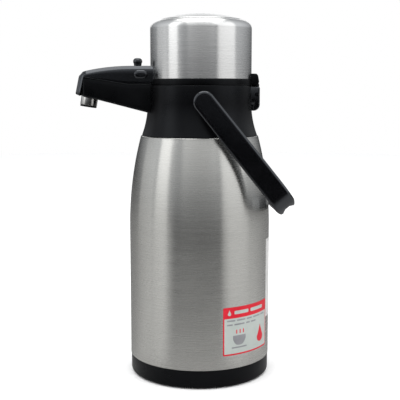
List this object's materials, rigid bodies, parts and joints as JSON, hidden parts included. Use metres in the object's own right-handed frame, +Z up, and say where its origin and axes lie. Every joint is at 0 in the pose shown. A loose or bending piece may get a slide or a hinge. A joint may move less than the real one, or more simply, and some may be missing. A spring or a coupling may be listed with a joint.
{
  "type": "thermal airpot",
  "caption": "Vacuum-walled steel jug with a push-down pump in its hinged lid, a fixed pouring spout and a swinging carry handle.",
  "frame": {"origin": "on the jug's axis at the surface that it stands on", "axes": "+Z up along the jug's axis; the spout points to -X and the lid's hinge is at +X; Y runs across, through the handle's two pivots"},
  "size_m": [0.2118, 0.1414, 0.3607],
  "materials": {
    "steel_brushed": "fine circumferential brushing",
    "steel_inner": "electropolished",
    "steel_bright": "polished",
    "steel_fastener": "bright zinc",
    "plastic_black": "fine satin texture",
    "plastic_gloss": "smooth",
    "plastic_dark": "plain inner moulding",
    "plastic_food": "natural polypropylene",
    "silicone": "translucent silicone",
    "rubber_black": "matt",
    "valve_rubber": "matt",
    "label_red": "printed film",
    "label_white": "printed film"
  },
  "bodies": {
    "vessel": {"outer_shell": "steel_brushed", "shell_neck": "steel_inner", "inner_liner": "steel_inner", "liner_neck": "steel_inner", "liner_bottom": "steel_inner", "shell_bottom": "steel_inner", "base_ring": "plastic_black", "foot_ring": "rubber_black", "base_screws": "steel_fastener", "collar": "plastic_black", "spout_tray": "plastic_black", "neck_nut": "plastic_dark", "neck_gasket": "silicone", "mouth_funnel": "plastic_food", "siphon_tube": "steel_inner", "siphon_head": "plastic_food", "siphon_seal": "silicone", "spout_pipe": "plastic_dark", "nozzle_sleeve": "steel_bright", "nozzle_insert": "plastic_black", "nozzle_seal": "silicone", "hinge_bracket": "plastic_gloss", "bracket_screws": "steel_fastener", "hinge_pin": "steel_bright", "handle_pins": "steel_bright", "care_label": "label_red", "rear_label": "label_white"},
    "lid": {"lid_ring": "plastic_black", "cap_shell": "steel_brushed", "guide_sleeve": "plastic_dark", "inner_lid": "plastic_dark", "lid_gasket": "silicone", "bellows": "rubber_black", "return_spring": "steel_bright", "delivery_valve": "valve_rubber", "lid_screws": "steel_fastener", "spout_cover": "plastic_gloss", "latch_pin": "steel_bright", "latch_spring": "steel_bright"},
    "press": {"press_plate": "steel_brushed", "press_carrier": "plastic_dark", "intake_valve": "valve_rubber"},
    "latch": {"latch_lever": "plastic_gloss"},
    "handle": {"carry_handle": "plastic_gloss"}
  },
  "joints": [
    {"name": "lid_hinge", "type": "hinge", "parent": "vessel", "child": "lid", "pos_m": [0.0558, 0, 0.2815], "axis": [0, 1, 0], "range_deg": [0, 100]},
    {"name": "pump_press", "type": "slide", "parent": "lid", "child": "press", "axis": [0, 0, -1], "range_m": [0, 0.022], "stiffness_N_per_m": 600, "springref_m": -0.01, "deforming": ["bellows", "return_spring"]},
    {"name": "latch_rock", "type": "hinge", "parent": "lid", "child": "latch", "pos_m": [-0.0585, 0, 0.301], "axis": [0, 1, 0], "range_deg": [0, 10], "stiffness_Nm_per_rad": 0.3, "springref_deg": -11.46},
    {"name": "handle_swing", "type": "hinge", "parent": "vessel", "child": "handle", "pos_m": [0, 0, 0.2748], "axis": [0, -1, 0], "range_deg": [0, 283]}
  ]
}
